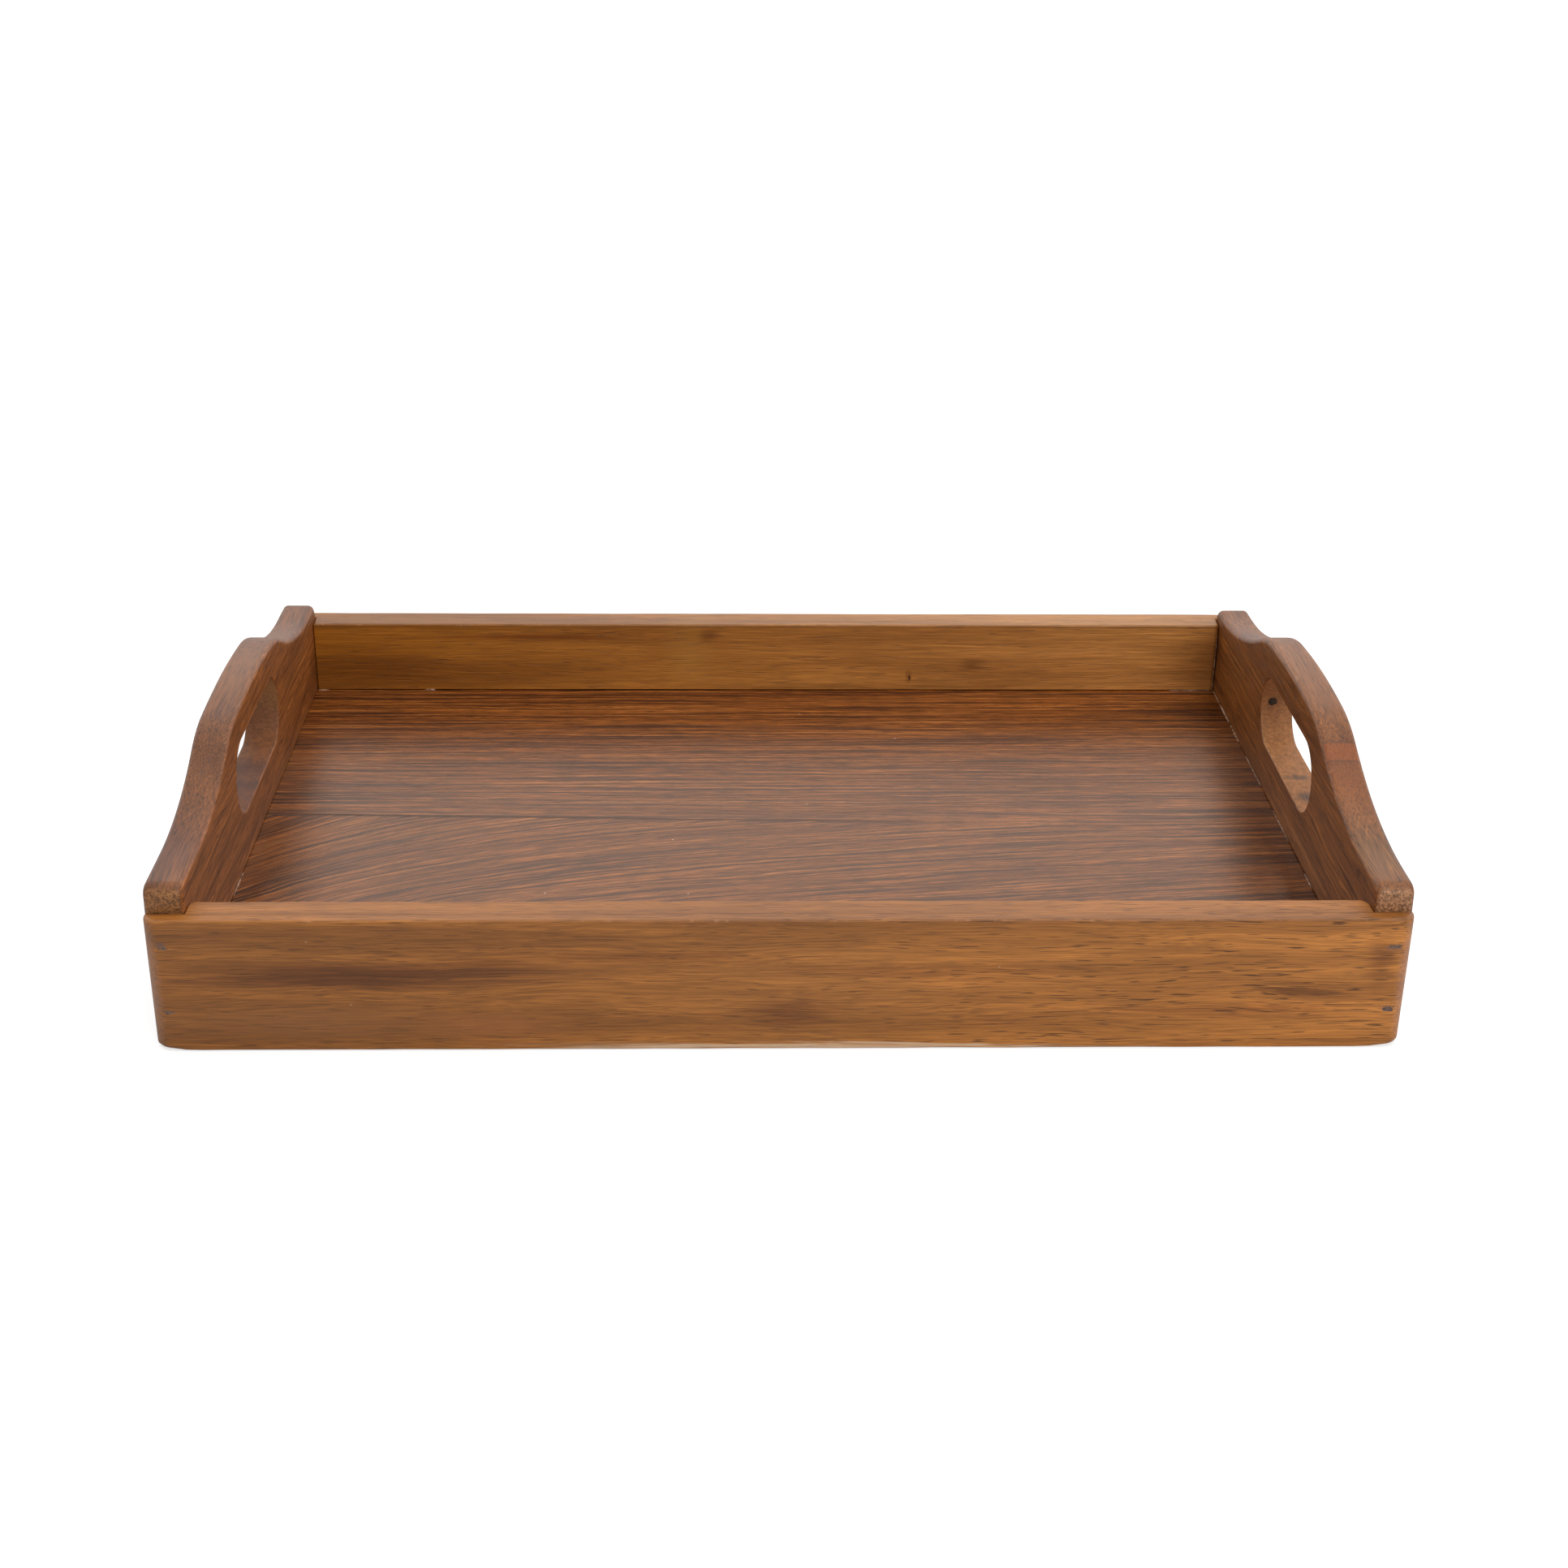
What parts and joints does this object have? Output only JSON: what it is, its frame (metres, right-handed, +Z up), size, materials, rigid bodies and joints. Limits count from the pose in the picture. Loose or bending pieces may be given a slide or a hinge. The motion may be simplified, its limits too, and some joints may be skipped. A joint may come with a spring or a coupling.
{
  "type": "serving tray",
  "caption": "Rectangular wooden serving tray with rabbeted rails, humped end boards with slotted hand holes, and a laminated floor held in grooves.",
  "frame": {"origin": "on the surface that the tray stands on, under the middle of its outline", "axes": "+X from the left hand hole to the right one, +Y from the front rail to the back rail, +Z up"},
  "size_m": [0.45, 0.3, 0.0825],
  "materials": {
    "front_rail_wood": "orange-brown acacia, straight grain, thin satin lacquer",
    "back_rail_wood": "golden olive-brown acacia with a small knot, thin satin lacquer",
    "left_board_wood": "red-brown acacia, satin lacquer, eased edges",
    "right_board_wood": "red-brown acacia with dark streaks, satin lacquer, eased edges",
    "floor_core": "raw fibreboard",
    "floor_face": "dark red-brown fine-lined face sheet, low sheen",
    "floor_backing": "plain brown backing sheet, matt",
    "nail_steel": "bright wire",
    "nail_filler": "grey-brown wood filler, matt"
  },
  "bodies": {
    "root": {"front_rail": "front_rail_wood", "back_rail": "back_rail_wood", "left_handle_board": "left_board_wood", "right_handle_board": "right_board_wood", "floor_core": "floor_core", "floor_face": "floor_face", "floor_backing": "floor_backing", "front_left_nails": "nail_steel", "front_right_nails": "nail_steel", "back_left_nails": "nail_steel", "back_right_nails": "nail_steel", "front_left_filler": "nail_filler", "front_right_filler": "nail_filler", "back_left_filler": "nail_filler", "back_right_filler": "nail_filler"}
  },
  "joints": []
}
